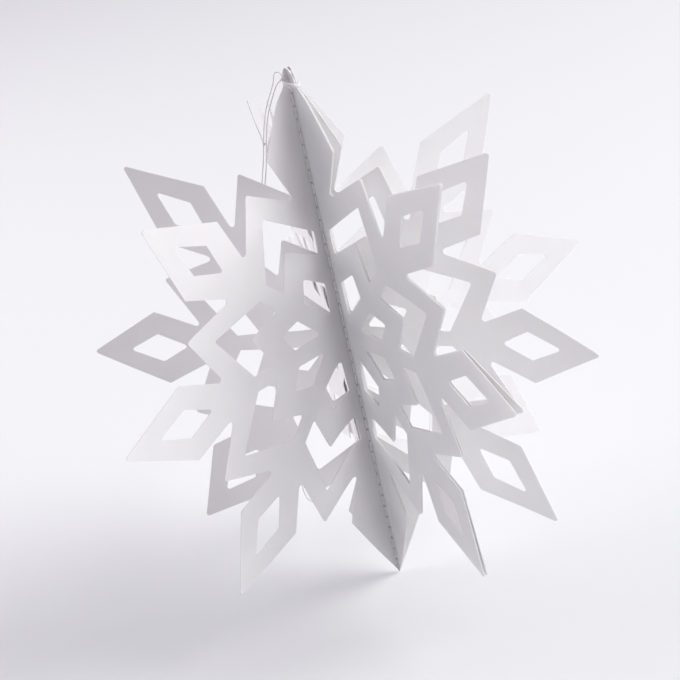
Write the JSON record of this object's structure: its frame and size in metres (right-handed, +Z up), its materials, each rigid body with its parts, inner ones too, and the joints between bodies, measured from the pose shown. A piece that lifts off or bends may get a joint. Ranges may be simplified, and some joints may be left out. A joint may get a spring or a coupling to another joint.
{
  "type": "paper snowflake star",
  "caption": "Hanging paper star of die-cut snowflake sheets, sewn together down the middle and fanned out round the seam.",
  "frame": {"origin": "on the seam axis, in the middle of the thread tie round the top points, where the star hangs", "axes": "+Z up the seam, -Y to the front of the sewn stack, +X to its right when seen from the front"},
  "size_m": [0.1965, 0.169, 0.2],
  "materials": {
    "card": "smooth white card with a faint pearl sheen",
    "thread": "twisted polyester sewing thread"
  },
  "bodies": {
    "seam": {"front_seam_strip": "card", "second_seam_strip": "card", "third_seam_strip": "card", "back_seam_strip": "card", "needle_thread": "thread", "bobbin_thread": "thread", "tie_winding": "thread", "tie_knot": "thread", "hanging_thread": "thread", "loose_end_knot": "thread"},
    "front_right": {"front_right_leaf": "card", "waste_diamond": "card"},
    "second_right": {"second_right_leaf": "card"},
    "third_right": {"third_right_leaf": "card"},
    "back_right": {"back_right_leaf": "card"},
    "front_left": {"front_left_leaf": "card"},
    "second_left": {"second_left_leaf": "card"},
    "third_left": {"third_left_leaf": "card"},
    "back_left": {"back_left_leaf": "card"}
  },
  "joints": [
    {"name": "front_right_fold", "type": "hinge", "parent": "seam", "child": "front_right", "pos_m": [0.0012, -0.00051, -0.095], "axis": [0, 0, 1], "range_deg": [-19.12, 23.9]},
    {"name": "second_right_fold", "type": "hinge", "parent": "seam", "child": "second_right", "pos_m": [0.00155, -0.00017, -0.095], "axis": [0, 0, 1], "range_deg": [-19.14, 23.92]},
    {"name": "third_right_fold", "type": "hinge", "parent": "seam", "child": "third_right", "pos_m": [0.0019, 0.00017, -0.095], "axis": [0, 0, 1], "range_deg": [-6.18, 7.72]},
    {"name": "back_right_fold", "type": "hinge", "parent": "seam", "child": "back_right", "pos_m": [0.0012, 0.00051, -0.095], "axis": [0, 0, 1], "range_deg": [-37.02, 29.62]},
    {"name": "front_left_fold", "type": "hinge", "parent": "seam", "child": "front_left", "pos_m": [-0.0012, -0.00051, -0.095], "axis": [0, 0, -1], "range_deg": [-14.7, 49]},
    {"name": "second_left_fold", "type": "hinge", "parent": "seam", "child": "second_left", "pos_m": [-0.00155, -0.00017, -0.095], "axis": [0, 0, -1], "range_deg": [-1.37, 4.52]},
    {"name": "third_left_fold", "type": "hinge", "parent": "seam", "child": "third_left", "pos_m": [-0.00155, 0.00017, -0.095], "axis": [0, 0, -1], "range_deg": [-48.02, 14.42]},
    {"name": "back_left_fold", "type": "hinge", "parent": "seam", "child": "back_left", "pos_m": [-0.0012, 0.00051, -0.095], "axis": [0, 0, -1], "range_deg": [-47.02, 14.12]}
  ],
  "couplings": [
    {"joint": "second_right_fold", "follows": "front_right_fold", "ratio": 1},
    {"joint": "third_right_fold", "follows": "front_right_fold", "ratio": 0.32218},
    {"joint": "back_right_fold", "follows": "front_right_fold", "ratio": -1.5481},
    {"joint": "second_left_fold", "follows": "front_left_fold", "ratio": 0.091837},
    {"joint": "third_left_fold", "follows": "front_left_fold", "ratio": -0.97959},
    {"joint": "back_left_fold", "follows": "front_left_fold", "ratio": -0.95918}
  ]
}
